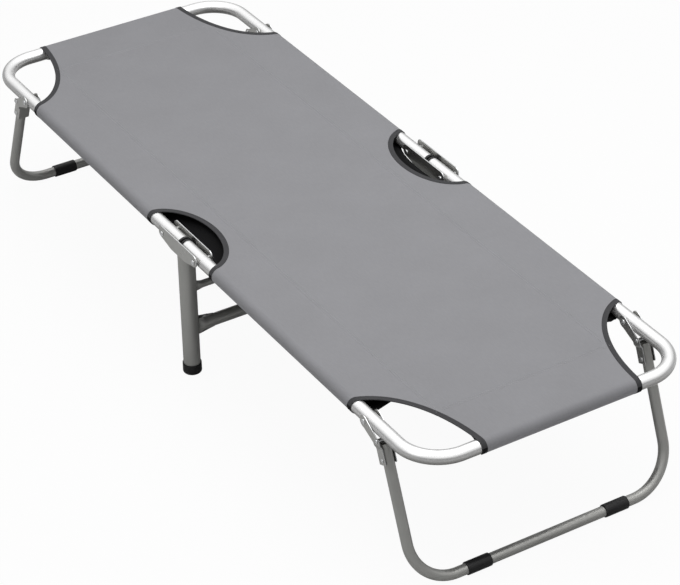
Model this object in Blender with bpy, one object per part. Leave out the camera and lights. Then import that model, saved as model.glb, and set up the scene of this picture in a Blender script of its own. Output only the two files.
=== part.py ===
# Folding camping cot: two hinged U frames on a fixed middle leg, folding end legs and a sleeved cloth top.
# Metres, +Z up. The origin is on the floor under the centre of the cot, +Y towards the head end.

import math

import bmesh
import bpy
from mathutils import Matrix, Vector

# Overall sizes
LENGTH = 1.881
WIDTH = 0.655
FRAME_AXIS_HEIGHT = 0.328

# Frame tubes
FRAME_TUBE_RADIUS = 0.0150
FRAME_WALL = 0.0012
FRAME_CORNER_RADIUS = 0.088
END_GAP = 0.0020
PLUG_HEAD = 0.0055
PLUG_RIM = 0.0020
PLUG_SPIGOT = 0.0150
PLUG_WALL = 0.0015
PLUG_EDGE = 0.0020

# Middle hinge channels
FOLD_PIN_Y = 0.068
CHANNEL_REACH = 0.082
CHANNEL_THICKNESS = 0.0025
CHANNEL_SIDE_GAP = 0.0030
CHANNEL_TOP = 0.0180
CHANNEL_END_DEPTH = 0.0090
CHANNEL_FLOOR_HALF = 0.0300
CHANNEL_TOP_CORNER = 0.0120

# Rivets
COLLAR_RADIUS = 0.0050
RIVET_RADIUS = 0.0030
RIVET_HEAD_RADIUS = 0.0060
RIVET_HEAD_HEIGHT = 0.0026
RIVET_DOME = ((0.0, 1.0), (0.6, 0.8), (1.0, 0.0))
SMALL_RIVET_RADIUS = 0.0022
SMALL_RIVET_HEAD_RADIUS = 0.0045
SMALL_RIVET_HEAD_HEIGHT = 0.0018

# Middle leg
MIDDLE_LEG_RADIUS = 0.0190
MIDDLE_LEG_WALL = 0.0015
FOOT_CAP_HEIGHT = 0.0250
FOOT_CAP_WALL = 0.0018
FOOT_CAP_FLOOR = 0.0030
FOOT_CAP_ROUND = 0.0045
UPPER_BAR_HEIGHT = 0.2170
UPPER_BAR_RADIUS = 0.0082
UPPER_BAR_FLARE = 0.0040
LOWER_BAR_HEIGHT = 0.1150
LOWER_BAR_RADIUS = 0.0125
LOWER_BAR_FLARE = 0.0100
BAR_WALL = 0.0012
FLARE_LENGTH = 0.0160
FLARE_LAND = 0.0020
PRESSED_SHARE = 0.80

# End legs
LEG_TUBE_RADIUS = 0.0115
LEG_WALL = 0.0012
LEG_CORNER_RADIUS = 0.096
END_TO_LEG_PIVOT = 0.2025
END_TO_FLOOR_BAR = 0.0375
LEG_OFFSET = 0.036
LEG_TOP = 0.044
SLEEVE_WALL = 0.0022
SLEEVE_LENGTH = 0.057
SLEEVE_CENTRE = 0.1685

# End leg brackets
LEAF_THICKNESS = 0.0018
LEAF_SIDE_GAP = 0.0006
LUG_RADIUS = 0.0135
LEAF_START = 0.040
LEAF_END = 0.087
LEAF_OUTBOARD = 0.0095
LEAF_EASE = 0.003
LEAF_TOP_DROP = 0.010
JOGGLE_START = 0.043
JOGGLE_END = 0.053
LEG_RIVET_AT = 0.077
STOP_RADIUS = 0.0040
STOP_Y = 0.047

# Cloth
CLOTH = 0.0012
CLOTH_MIDDLE_GAP = 0.00015
SIDE_SEAM_X = 0.200
END_SEAM_Y = 0.800
SEAM_ALLOWANCE = 0.020
CORNER_CUT_REACH_X = 0.155
CORNER_CUT_REACH_Y = 0.270
CORNER_CUT_MARGIN = 0.015
CORNER_LOWER_Y = 0.712
CORNER_LOWER_X = 0.175
CORNER_LOWER_EASE = 0.012
HINGE_CUT_REACH_X = 0.0835
HINGE_CUT_HALF_Y = 0.130
HINGE_CUT_MARGIN = 0.0170
HINGE_LOWER_REACH_X = 0.050

# Fits and mesh fineness
CLEARANCE = 0.0003
FRAME_SIDES = 16
LEG_SIDES = 16
RIVET_SIDES = 10
BEND_STEPS = 6
CHANNEL_CORNER_STEPS = 4
CAP_EDGE_STEPS = 3
LUG_STEPS = 7
SLEEVE_STEPS = 14
CORNER_CUT_STEPS = 9
HINGE_CUT_STEPS = 14
SHARP_ANGLE = 35
CUT_EXTRA = 0.010
WELD = 1e-6
AXIS_TURNS = {
    "X": Matrix.Rotation(math.pi / 2, 4, "Y"),
    "Y": Matrix.Rotation(-math.pi / 2, 4, "X"),
    "Z": Matrix(),
}

# Sizes worked out from the ones above
SIDE_X = WIDTH / 2 - FRAME_TUBE_RADIUS
END_BAR_Y = LENGTH / 2 - FRAME_TUBE_RADIUS
LEG_PIVOT_Y = LENGTH / 2 - END_TO_LEG_PIVOT
SLEEVE_RADIUS = LEG_TUBE_RADIUS + CLEARANCE + SLEEVE_WALL
FLOOR_BAR_Y = LENGTH / 2 - END_TO_FLOOR_BAR
CHANNEL_INNER = FRAME_TUBE_RADIUS + CHANNEL_SIDE_GAP
CHANNEL_OUTER = CHANNEL_INNER + CHANNEL_THICKNESS
PLUG_RADIUS = FRAME_TUBE_RADIUS + PLUG_RIM
CHANNEL_FLOOR_TOP = -PLUG_RADIUS - CLEARANCE
LEAF_INNER = FRAME_TUBE_RADIUS + LEAF_SIDE_GAP
LEAF_LOWER_INNER = LEG_TUBE_RADIUS + CLEARANCE
CLOTH_INNER = FRAME_TUBE_RADIUS + CLEARANCE
CLOTH_OUTER = CLOTH_INNER + CLOTH
RIVET_HOLE_RADIUS = RIVET_RADIUS + CLEARANCE
SMALL_RIVET_HOLE_RADIUS = SMALL_RIVET_RADIUS + CLEARANCE

# The leg's floor bar as seen from its pivot, its distance along the leg and the leg's outward slant
FOOT_OUT = FLOOR_BAR_Y - LEG_PIVOT_Y
FOOT_DOWN = FRAME_AXIS_HEIGHT - SLEEVE_RADIUS
LEG_LENGTH = math.sqrt(FOOT_OUT**2 + FOOT_DOWN**2 - LEG_OFFSET**2)
LEG_SLANT = math.atan2(FOOT_OUT, FOOT_DOWN) - math.atan2(LEG_OFFSET, LEG_LENGTH)

MATERIALS = {
    "satin_aluminium": ((0.80, 0.80, 0.81), 0.30, 1.0),
    "grey_steel": ((0.42, 0.42, 0.41), 0.45, 0.9),
    "plated_steel": ((0.66, 0.66, 0.67), 0.32, 1.0),
    "black_plastic": ((0.015, 0.015, 0.016), 0.55, 0.0),
    "grey_cloth": ((0.25, 0.25, 0.27), 0.85, 0.0),
}


def clear_scene():
    for obj in list(bpy.data.objects):
        bpy.data.objects.remove(obj, do_unlink=True)


def make_materials():
    for name, (colour, roughness, metallic) in MATERIALS.items():
        material = bpy.data.materials.new(name)
        material.use_nodes = True
        shader = material.node_tree.nodes["Principled BSDF"]
        shader.inputs["Base Color"].default_value = (*colour, 1.0)
        shader.inputs["Roughness"].default_value = roughness
        shader.inputs["Metallic"].default_value = metallic


def make_empty(name, location=(0, 0, 0), turn=0.0, parent=None):
    empty = bpy.data.objects.new(name, None)
    empty.location = location
    empty.rotation_euler = (0, 0, turn)
    empty.parent = parent
    bpy.context.scene.collection.objects.link(empty)
    return empty


def add_object(name, bm, material=None, parent=None, location=(0, 0, 0), rotation=(0, 0, 0)):
    mesh = bpy.data.meshes.new(name)
    bm.to_mesh(mesh)
    bm.free()
    mesh.shade_smooth()
    mesh.set_sharp_from_angle(angle=math.radians(SHARP_ANGLE))
    obj = bpy.data.objects.new(name, mesh)
    obj.location = location
    obj.rotation_euler = rotation
    obj.parent = parent
    if material:
        mesh.materials.append(bpy.data.materials[material])
    bpy.context.scene.collection.objects.link(obj)
    return obj


def add_cutter(name, bm, parent=None, location=(0, 0, 0)):
    cutter = add_object(name, bm, parent=parent, location=location)
    cutter.hide_render = True
    cutter.display_type = "WIRE"
    return cutter


def apply_boolean(obj, cutter, operation="DIFFERENCE"):
    modifier = obj.modifiers.new(cutter.name, "BOOLEAN")
    modifier.object = cutter
    modifier.operation = operation
    modifier.solver = "EXACT"


def add_wall(obj, thickness):
    """Turns a round shell into a wall, inwards from its surface."""
    modifier = obj.modifiers.new("wall", "SOLIDIFY")
    modifier.thickness = thickness
    modifier.offset = -1.0
    modifier.use_even_offset = True


def add_sheet_wall(obj, thickness):
    """Turns a folded sheet into a wall, outwards from it, with every flat at full thickness."""
    modifier = obj.modifiers.new("wall", "SOLIDIFY")
    modifier.solidify_mode = "NON_MANIFOLD"
    modifier.nonmanifold_thickness_mode = "CONSTRAINTS"
    modifier.thickness = thickness
    modifier.offset = 1.0


def arc(centre, radius, start, end, steps):
    """Points of an arc in degrees, both ends included."""
    angles = [math.radians(start + (end - start) * i / steps) for i in range(steps + 1)]
    return [(centre[0] + radius * math.cos(a), centre[1] + radius * math.sin(a)) for a in angles]


def ring(bm, radius, sides, centre=(0, 0, 0), axis="Y"):
    """A closed loop of edges round an axis through its centre."""
    place = Matrix.Translation(centre) @ AXIS_TURNS[axis]
    made = bmesh.ops.create_circle(bm, cap_ends=False, segments=sides, radius=radius, matrix=place)
    return list({edge for vert in made["verts"] for edge in vert.link_edges})


def extrude_along(bm, edges, step):
    made = bmesh.ops.extrude_edge_only(bm, edges=edges)["geom"]
    verts = [item for item in made if isinstance(item, bmesh.types.BMVert)]
    bmesh.ops.translate(bm, verts=verts, vec=step)
    return [item for item in made if isinstance(item, bmesh.types.BMEdge)]


def bend(bm, edges, centre, axis, degrees):
    geom = edges + list({vert for edge in edges for vert in edge.verts})
    angle = math.radians(degrees)
    made = bmesh.ops.spin(
        bm, geom=geom, cent=centre, axis=axis, angle=angle, steps=BEND_STEPS, use_duplicate=False
    )["geom_last"]
    return [item for item in made if isinstance(item, bmesh.types.BMEdge)]


def u_tube(name, radius, wall, sides, start, end, corner, height, **placing):
    """A tube bent to a U: along +Y from start, across X at end, and back."""
    bm = bmesh.new()
    edges = ring(bm, radius, sides, (-SIDE_X, start, height))
    edges = extrude_along(bm, edges, (0, end - corner - start, 0))
    edges = bend(bm, edges, (-SIDE_X + corner, end - corner, height), (0, 0, -1), 90)
    edges = extrude_along(bm, edges, (2 * (SIDE_X - corner), 0, 0))
    edges = bend(bm, edges, (SIDE_X - corner, end - corner, height), (0, 0, -1), 90)
    extrude_along(bm, edges, (0, start - end + corner, 0))
    bmesh.ops.remove_doubles(bm, verts=bm.verts, dist=WELD)
    bmesh.ops.recalc_face_normals(bm, faces=bm.faces)
    tube = add_object(name, bm, **placing)
    add_wall(tube, wall)
    return tube


def turned(profile, sides, axis="X", centre=(0, 0, 0), bored=False):
    """A closed solid turned from (along, radius) points, from axis to axis or bored through."""
    bm = bmesh.new()
    verts = [bm.verts.new((0, radius, along)) for along, radius in profile]
    edges = [bm.edges.new(pair) for pair in zip(verts, verts[1:])]
    if bored:
        edges.append(bm.edges.new((verts[-1], verts[0])))
    bmesh.ops.spin(
        bm, geom=verts + edges, cent=(0, 0, 0), axis=(0, 0, 1), angle=math.tau, steps=sides, use_merge=True
    )
    bmesh.ops.remove_doubles(bm, verts=bm.verts, dist=WELD)
    bmesh.ops.recalc_face_normals(bm, faces=bm.faces)
    bmesh.ops.transform(bm, matrix=Matrix.Translation(centre) @ AXIS_TURNS[axis], verts=bm.verts)
    return bm


def prism(outline, low, high, plane="XY"):
    """A closed solid with a flat outline, from low to high along the remaining axis."""
    place = {
        "XY": lambda a, b: (a, b, low),
        "XZ": lambda a, b: (a, low, b),
        "YZ": lambda a, b: (low, a, b),
    }[plane]
    step = {"XY": (0, 0, high - low), "XZ": (0, high - low, 0), "YZ": (high - low, 0, 0)}[plane]
    bm = bmesh.new()
    face = bm.faces.new([bm.verts.new(place(a, b)) for a, b in outline])
    made = bmesh.ops.extrude_face_region(bm, geom=[face], use_keep_orig=True)["geom"]
    bmesh.ops.translate(bm, verts=[item for item in made if isinstance(item, bmesh.types.BMVert)], vec=step)
    bmesh.ops.recalc_face_normals(bm, faces=bm.faces)
    return bm


def joined(*parts):
    """One bmesh from several that stay separate bodies, for a cutter."""
    bm = bmesh.new()
    for part in parts:
        mesh = bpy.data.meshes.new("part")
        part.to_mesh(mesh)
        part.free()
        bm.from_mesh(mesh)
        bpy.data.meshes.remove(mesh)
    return bm


def cross_pin(radius, centre, half_length, sides=RIVET_SIDES):
    profile = [(-half_length, 0), (-half_length, radius), (half_length, radius), (half_length, 0)]
    return turned(profile, sides, "X", centre)


def rivet_profile(half_grip, radius, head_radius, head_height):
    """A shank with a domed head past each end of its grip."""
    head = [(half_grip, radius)]
    head += [(half_grip + up * head_height, across * head_radius) for up, across in RIVET_DOME]
    return [(-along, across) for along, across in reversed(head)] + head


def folded_sheet(outline, web_pairs, spread, thickness, bends=()):
    """A pressed sheet: two equal leaves in YZ joined by webs along the given outline edges.

    spread(point) gives half the inside distance between the leaves, and bends are the
    planes (point, normal) in YZ where it changes.
    """
    bm = bmesh.new()
    leaves = []
    for side in (-1, 1):
        verts = [bm.verts.new((side, y, z)) for y, z in outline]
        bm.faces.new(verts)
        leaves.append(verts)
    for first, second in web_pairs:
        left, right = leaves
        bm.faces.new([left[first], left[second], right[second], right[first]])
    for point, normal in bends:
        bmesh.ops.bisect_plane(
            bm, geom=bm.verts[:] + bm.edges[:] + bm.faces[:], plane_co=(0, *point), plane_no=(0, *normal)
        )
    for vert in bm.verts:
        vert.co.x = math.copysign(spread(vert.co.y, vert.co.z), vert.co.x)
    bmesh.ops.recalc_face_normals(bm, faces=bm.faces)
    left_face = min(bm.faces, key=lambda face: face.calc_center_median().x)
    if left_face.normal.x > 0:
        bmesh.ops.reverse_faces(bm, faces=bm.faces)
    return bm


# Middle hinge, leg and crossbars


def channel_outline():
    """The side flange, in YZ about the frame tube's axis, starting along its floor edge."""
    low = CHANNEL_FLOOR_TOP
    half = [(CHANNEL_FLOOR_HALF, low), (CHANNEL_REACH - CHANNEL_TOP_CORNER / 2, -CHANNEL_END_DEPTH)]
    corner = (CHANNEL_REACH - CHANNEL_TOP_CORNER, CHANNEL_TOP - CHANNEL_TOP_CORNER)
    half += [(CHANNEL_REACH, -CHANNEL_END_DEPTH + CHANNEL_TOP_CORNER / 2)]
    half += arc(corner, CHANNEL_TOP_CORNER, 0, 90, CHANNEL_CORNER_STEPS)
    return half + [(-y, z) for y, z in reversed(half)]


def make_channel(side_name, x):
    outline = channel_outline()
    sheet = folded_sheet(outline, [(len(outline) - 1, 0)], lambda y, z: CHANNEL_INNER, CHANNEL_THICKNESS)
    place = (x, 0, FRAME_AXIS_HEIGHT)
    channel = add_object(f"centre_channel_{side_name}", sheet, "plated_steel", location=place)
    add_sheet_wall(channel, CHANNEL_THICKNESS)
    reach = CHANNEL_OUTER + CUT_EXTRA
    pins = [cross_pin(RIVET_HOLE_RADIUS, (0, y, 0), reach) for y in (-FOLD_PIN_Y, FOLD_PIN_Y)]
    apply_boolean(channel, add_cutter(f"channel_holes_{side_name}", joined(*pins), location=place))


def make_middle_leg(side_name, x):
    bottom = FOOT_CAP_FLOOR + CLEARANCE
    top = FRAME_AXIS_HEIGHT + CHANNEL_FLOOR_TOP - CHANNEL_THICKNESS - CLEARANCE
    bm = bmesh.new()
    edges = ring(bm, MIDDLE_LEG_RADIUS, FRAME_SIDES, (0, 0, bottom), "Z")
    extrude_along(bm, edges, (0, 0, top - bottom))
    bmesh.ops.recalc_face_normals(bm, faces=bm.faces)
    leg = add_object(f"middle_leg_{side_name}", bm, "grey_steel", location=(x, 0, 0))
    add_wall(leg, MIDDLE_LEG_WALL)

    bore = MIDDLE_LEG_RADIUS + CLEARANCE
    outer = bore + FOOT_CAP_WALL
    profile = [(0, 0)]
    profile += [
        (FOOT_CAP_ROUND + along, outer - FOOT_CAP_ROUND + across)
        for across, along in arc((0, 0), FOOT_CAP_ROUND, -90, 0, CAP_EDGE_STEPS)
    ]
    profile += [(FOOT_CAP_HEIGHT, outer), (FOOT_CAP_HEIGHT, bore)]
    profile += [(FOOT_CAP_FLOOR, bore), (FOOT_CAP_FLOOR, 0)]
    cap = turned(profile, FRAME_SIDES, "Z")
    add_object(f"foot_cap_{side_name}", cap, "black_plastic", location=(x, 0, 0))


def make_crossbar(name, height, radius, flare):
    """A tube between the middle legs, pressed flat and taller where it meets each leg."""
    flare_end = SIDE_X - MIDDLE_LEG_RADIUS - FLARE_LAND
    pressed = radius * PRESSED_SHARE
    half_stations = [
        (flare_end - FLARE_LENGTH, radius, radius),
        (flare_end, pressed, radius + flare),
        (SIDE_X, pressed, radius + flare),
    ]
    stations = [(-x, wide, tall) for x, wide, tall in reversed(half_stations)] + half_stations
    bm = bmesh.new()
    loops = []
    for x, wide, tall in stations:
        edges = ring(bm, 1.0, LEG_SIDES, (0, 0, 0), "X")
        verts = list({vert for edge in edges for vert in edge.verts})
        bmesh.ops.scale(bm, vec=(1, wide, tall), verts=verts)
        bmesh.ops.translate(bm, vec=(x, 0, height), verts=verts)
        loops.append(edges)
    for first, second in zip(loops, loops[1:]):
        bmesh.ops.bridge_loops(bm, edges=first + second)
    bmesh.ops.recalc_face_normals(bm, faces=bm.faces)
    bar = add_object(name, bm, "grey_steel")
    add_wall(bar, BAR_WALL)
    fit = MIDDLE_LEG_RADIUS + CLEARANCE
    span = radius + flare + CUT_EXTRA
    profile = [(-span, 0), (-span, fit), (span, fit), (span, 0)]
    legs = [turned(profile, FRAME_SIDES, "Z", (x, 0, height)) for x in (-SIDE_X, SIDE_X)]
    apply_boolean(bar, add_cutter(f"{name}_ends", joined(*legs)))


def make_fold_rivet(name, x, y):
    """A rivet with a collar that fills the space between the frame tube and each side of the channel."""
    ends = rivet_profile(CHANNEL_OUTER + CLEARANCE, RIVET_RADIUS, RIVET_HEAD_RADIUS, RIVET_HEAD_HEIGHT)
    near, far = FRAME_TUBE_RADIUS + CLEARANCE, CHANNEL_INNER - CLEARANCE
    collar = [(near, RIVET_RADIUS), (near, COLLAR_RADIUS), (far, COLLAR_RADIUS), (far, RIVET_RADIUS)]
    middle = len(ends) // 2
    profile = ends[:middle] + [(-along, across) for along, across in reversed(collar)] + collar + ends[middle:]
    place = (x, y, FRAME_AXIS_HEIGHT)
    add_object(name, turned(profile, RIVET_SIDES), "plated_steel", location=place)


def make_centre():
    for side_name, x in (("left", -SIDE_X), ("right", SIDE_X)):
        make_channel(side_name, x)
        make_middle_leg(side_name, x)
        make_fold_rivet(f"fold_rivet_head_{side_name}", x, FOLD_PIN_Y)
        make_fold_rivet(f"fold_rivet_foot_{side_name}", x, -FOLD_PIN_Y)
    make_crossbar("upper_crossbar", UPPER_BAR_HEIGHT, UPPER_BAR_RADIUS, UPPER_BAR_FLARE)
    make_crossbar("lower_crossbar", LOWER_BAR_HEIGHT, LOWER_BAR_RADIUS, LOWER_BAR_FLARE)


# Half frames, measured from the fold rivets' axis


def make_frame_tube(end, half):
    start = END_GAP + PLUG_HEAD + CLEARANCE - FOLD_PIN_Y
    tube = u_tube(
        f"{end}_frame_tube",
        FRAME_TUBE_RADIUS,
        FRAME_WALL,
        FRAME_SIDES,
        start,
        END_BAR_Y - FOLD_PIN_Y,
        FRAME_CORNER_RADIUS,
        0.0,
        material="satin_aluminium",
        parent=half,
    )
    reach = FRAME_TUBE_RADIUS + CUT_EXTRA
    places = [(x, y, 0) for x in (-SIDE_X, SIDE_X) for y in (0, LEG_PIVOT_Y - FOLD_PIN_Y)]
    holes = joined(*[cross_pin(RIVET_HOLE_RADIUS, place, reach) for place in places])
    apply_boolean(tube, add_cutter(f"{end}_frame_holes", holes, half))


def make_end_plug(name, x, half):
    """A cap on the frame tube's open end, with a hollow spigot inside it."""
    face = END_GAP - FOLD_PIN_Y
    seat = face + PLUG_HEAD
    spigot = FRAME_TUBE_RADIUS - FRAME_WALL - CLEARANCE
    profile = [
        (face, 0),
        (face, PLUG_RADIUS - PLUG_EDGE),
        (face + PLUG_EDGE, PLUG_RADIUS),
        (seat, PLUG_RADIUS),
        (seat, spigot),
        (seat + PLUG_SPIGOT, spigot),
        (seat + PLUG_SPIGOT, spigot - PLUG_WALL),
        (seat, spigot - PLUG_WALL),
        (seat, 0),
    ]
    add_object(name, turned(profile, FRAME_SIDES, "Y"), "black_plastic", half, location=(x, 0, 0))


def tangent_angle(point, centre, radius):
    """The direction, in degrees from a circle's centre, where a line from a point touches it below."""
    dx, dz = point[0] - centre[0], point[1] - centre[1]
    angle = math.atan2(dz, dx) + math.acos(radius / math.hypot(dx, dz))
    return math.degrees(angle) % 360


def sleeve_section(tube, seam, radius, top):
    """Outline of a sleeve round a tube, from its seam along the top and back underneath."""
    points = [seam]
    if top > seam[1]:
        points.append((seam[0], top))
    return points + arc(tube, radius, 90, tangent_angle(seam, tube, radius) - 360, SLEEVE_STEPS)


def make_cloth(end, half):
    """The half's cloth: a flat sheet with a sleeve along both sides and the end, cut away over the metal."""
    near = CLOTH_MIDDLE_GAP - FOLD_PIN_Y
    side_end = END_SEAM_Y + SEAM_ALLOWANCE - FOLD_PIN_Y
    end_seam = END_SEAM_Y - FOLD_PIN_Y
    end_bar = END_BAR_Y - FOLD_PIN_Y
    end_half = SIDE_SEAM_X + SEAM_ALLOWANCE / 2
    under = CLOTH_INNER

    right = sleeve_section((SIDE_X, 0), (SIDE_SEAM_X - CLOTH, under), CLOTH_OUTER, under)[1:]
    outline = [(SIDE_SEAM_X - CLOTH, under)] + list(reversed(right))
    outline += [(-x, z) for x, z in reversed(outline)]
    body = prism(outline, near, side_end, "XZ")

    across = sleeve_section((end_bar, 0), (end_seam - CLOTH, under), CLOTH_OUTER, CLOTH_OUTER)
    end_sleeve = prism(across, -end_half, end_half, "YZ")

    cloth = add_object(f"{end}_cloth", body, "grey_cloth", half)
    apply_boolean(cloth, add_cutter(f"{end}_cloth_end", end_sleeve, half), "UNION")

    inside = sleeve_section((SIDE_X, 0), (SIDE_SEAM_X + CLOTH, under), CLOTH_INNER, under)
    mirrored = [(-x, z) for x, z in inside]
    hollow = [prism(side, near - CUT_EXTRA, side_end + CUT_EXTRA, "XZ") for side in (inside, mirrored)]
    end_inside = sleeve_section((end_bar, 0), (end_seam + CLOTH, under), CLOTH_INNER, under)
    hollow.append(prism(end_inside, -end_half - CUT_EXTRA, end_half + CUT_EXTRA, "YZ"))
    for number, part in enumerate(hollow):
        apply_boolean(cloth, add_cutter(f"{end}_cloth_hollow_{number}", part, half))

    for side_name, side in (("left", -1), ("right", 1)):
        cuts = *corner_cuts(side), *hinge_cuts(side)
        for number, part in enumerate(cuts):
            apply_boolean(cloth, add_cutter(f"{end}_cloth_cut_{side_name}_{number}", part, half))


def corner_cuts(side):
    """The quarter-ellipse opening over the frame's corner, with the underside cut straight behind it."""
    outer_x = SIDE_X + CLOTH_OUTER + CORNER_CUT_MARGIN - CLEARANCE
    outer_y = END_BAR_Y + CLOTH_OUTER + CORNER_CUT_MARGIN - FOLD_PIN_Y
    curve = [
        (outer_x - CORNER_CUT_REACH_X * a, outer_y - CORNER_CUT_REACH_Y * b)
        for a, b in arc((0, 0), 1.0, 0, 90, CORNER_CUT_STEPS)
    ]
    far_x, far_y = outer_x + CUT_EXTRA, outer_y + CUT_EXTRA
    near_x, near_y = curve[0][0], curve[-1][1]
    upper = curve + [(far_x, near_y), (far_x, far_y), (near_x, far_y)]
    straight_x, straight_y = CORNER_LOWER_X, CORNER_LOWER_Y - FOLD_PIN_Y
    inside_x, inside_y = SIDE_X - CLOTH_OUTER, END_BAR_Y - CLOTH_OUTER - FOLD_PIN_Y
    eased = (inside_x, straight_y - CORNER_LOWER_EASE / 2), (inside_x - CORNER_LOWER_EASE, straight_y)
    flaps = [*eased, (straight_x, straight_y), (straight_x, inside_y)]
    wrap = flaps + [(near_x, END_BAR_Y + CLOTH_OUTER - FOLD_PIN_Y), (near_x, far_y)]
    wrap += [(far_x, far_y), (far_x, near_y), (SIDE_X + CLOTH_OUTER, near_y)]
    parts = (
        (upper, 0, CLOTH_OUTER + CUT_EXTRA),
        (wrap, -CLOTH_OUTER - CUT_EXTRA, 0),
        (flaps + [(inside_x, inside_y)], -CUT_EXTRA, CLOTH_INNER - CLOTH - CLEARANCE),
    )
    return [prism([(side * x, y) for x, y in outline], low, high) for outline, low, high in parts]


def hinge_cuts(side):
    """The half-ellipse opening over the middle hinge, wide in the top layer and narrow in the underside."""
    outer_x = SIDE_X + HINGE_CUT_MARGIN
    under = -CLOTH_OUTER - CUT_EXTRA
    parts = []
    for reach, low in ((HINGE_CUT_REACH_X, CLOTH_INNER / 2), (HINGE_LOWER_REACH_X, under)):
        curve = arc((0, 0), 1.0, 90, -90, HINGE_CUT_STEPS)
        curve = [(outer_x - reach * a, -FOLD_PIN_Y - HINGE_CUT_HALF_Y * b) for a, b in curve]
        outline = [(side * x, y) for x, y in curve]
        outline += [(side * (outer_x + CUT_EXTRA), y) for y in (curve[-1][1], curve[0][1])]
        parts.append(prism(outline, low, CLOTH_OUTER + CUT_EXTRA))
    return parts


def make_leg_pivot_rivet(name, x, half):
    grip = LEAF_INNER + LEAF_THICKNESS + CLEARANCE
    profile = rivet_profile(grip, RIVET_RADIUS, RIVET_HEAD_RADIUS, RIVET_HEAD_HEIGHT)
    place = (x, LEG_PIVOT_Y - FOLD_PIN_Y, 0)
    add_object(name, turned(profile, RIVET_SIDES), "plated_steel", half, location=place)


# End legs, measured from the leg pivot's axis


def on_leg(along, outboard):
    """The (y, z) point at a distance down the leg's axis and outboard of it."""
    down = Vector((math.sin(LEG_SLANT), -math.cos(LEG_SLANT)))
    out = Vector((math.cos(LEG_SLANT), math.sin(LEG_SLANT)))
    return tuple(out * (LEG_OFFSET + outboard) + down * along)


def leaf_spread(y, z):
    """Half the inside distance between a bracket's leaves: wide at the frame tube, close on the leg tube."""
    along = y * math.sin(LEG_SLANT) - z * math.cos(LEG_SLANT)
    part = min(max((along - JOGGLE_START) / (JOGGLE_END - JOGGLE_START), 0.0), 1.0)
    return LEAF_INNER + (LEAF_LOWER_INNER - LEAF_INNER) * part


def make_leg_bracket(name, x, leg):
    inboard = -LEG_TUBE_RADIUS - CLEARANCE
    outboard, eased = LEAF_OUTBOARD, LEAF_OUTBOARD - LEAF_EASE
    top_along = (math.sin(LEG_SLANT) * (LEG_OFFSET + outboard) + LEAF_TOP_DROP) / math.cos(LEG_SLANT)
    outline = arc((0, 0), LUG_RADIUS, 60, 270, LUG_STEPS)
    outline += [on_leg(LEAF_START, inboard), on_leg(LEAF_END, inboard)]
    outline += [on_leg(LEAF_END, eased), on_leg(LEAF_END - LEAF_EASE, outboard)]
    outline += [on_leg(top_along + LEAF_TOP_DROP, outboard), on_leg(top_along, outboard - LEAF_TOP_DROP / 2)]
    web = (outline.index(on_leg(LEAF_START, inboard)), outline.index(on_leg(LEAF_END, inboard)))
    down = (math.sin(LEG_SLANT), -math.cos(LEG_SLANT))
    bends = [(on_leg(along, 0), down) for along in (JOGGLE_START, JOGGLE_END)]
    sheet = folded_sheet(outline, [web], leaf_spread, LEAF_THICKNESS, bends)
    bracket = add_object(name, sheet, "plated_steel", leg, location=(x, 0, 0))
    add_sheet_wall(bracket, LEAF_THICKNESS)
    reach = LEAF_INNER + LEAF_THICKNESS + CUT_EXTRA
    stop = (0, STOP_Y, stop_height())
    holes = joined(
        cross_pin(RIVET_HOLE_RADIUS, (0, 0, 0), reach),
        cross_pin(SMALL_RIVET_HOLE_RADIUS, stop, reach),
        cross_pin(SMALL_RIVET_HOLE_RADIUS, (0, *on_leg(LEG_RIVET_AT, 0)), reach),
    )
    apply_boolean(bracket, add_cutter(f"{name}_holes", holes, leg, location=(x, 0, 0)))


def stop_height():
    return -FRAME_TUBE_RADIUS - CLEARANCE - STOP_RADIUS


def make_stop_pin(name, x, leg):
    """A spacer between the leaves that meets the frame tube's underside, riveted over outside them."""
    shoulder = LEAF_INNER - CLEARANCE
    grip = LEAF_INNER + LEAF_THICKNESS + CLEARANCE
    ends = rivet_profile(grip, SMALL_RIVET_RADIUS, SMALL_RIVET_HEAD_RADIUS, SMALL_RIVET_HEAD_HEIGHT)
    middle = len(ends) // 2
    profile = ends[:middle]
    profile += [(-shoulder, SMALL_RIVET_RADIUS), (-shoulder, STOP_RADIUS)]
    profile += [(shoulder, STOP_RADIUS), (shoulder, SMALL_RIVET_RADIUS)]
    profile += ends[middle:]
    place = (x, STOP_Y, stop_height())
    add_object(name, turned(profile, RIVET_SIDES), "plated_steel", leg, location=place)


def make_leg_rivet(name, x, leg):
    grip = LEAF_LOWER_INNER + LEAF_THICKNESS + CLEARANCE
    profile = rivet_profile(grip, SMALL_RIVET_RADIUS, SMALL_RIVET_HEAD_RADIUS, SMALL_RIVET_HEAD_HEIGHT)
    place = (x, *on_leg(LEG_RIVET_AT, 0))
    add_object(name, turned(profile, RIVET_SIDES), "plated_steel", leg, location=place)


def make_leg_tube(end, leg):
    lie = (LEG_SLANT - math.pi / 2, 0, 0)
    tube = u_tube(
        f"{end}_leg_tube",
        LEG_TUBE_RADIUS,
        LEG_WALL,
        LEG_SIDES,
        LEG_TOP,
        LEG_LENGTH,
        LEG_CORNER_RADIUS,
        LEG_OFFSET,
        material="grey_steel",
        parent=leg,
        rotation=lie,
    )
    reach = LEG_TUBE_RADIUS + CUT_EXTRA
    places = [(x, *on_leg(LEG_RIVET_AT, 0)) for x in (-SIDE_X, SIDE_X)]
    holes = joined(*[cross_pin(SMALL_RIVET_HOLE_RADIUS, place, reach) for place in places])
    apply_boolean(tube, add_cutter(f"{end}_leg_holes", holes, leg))


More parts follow.
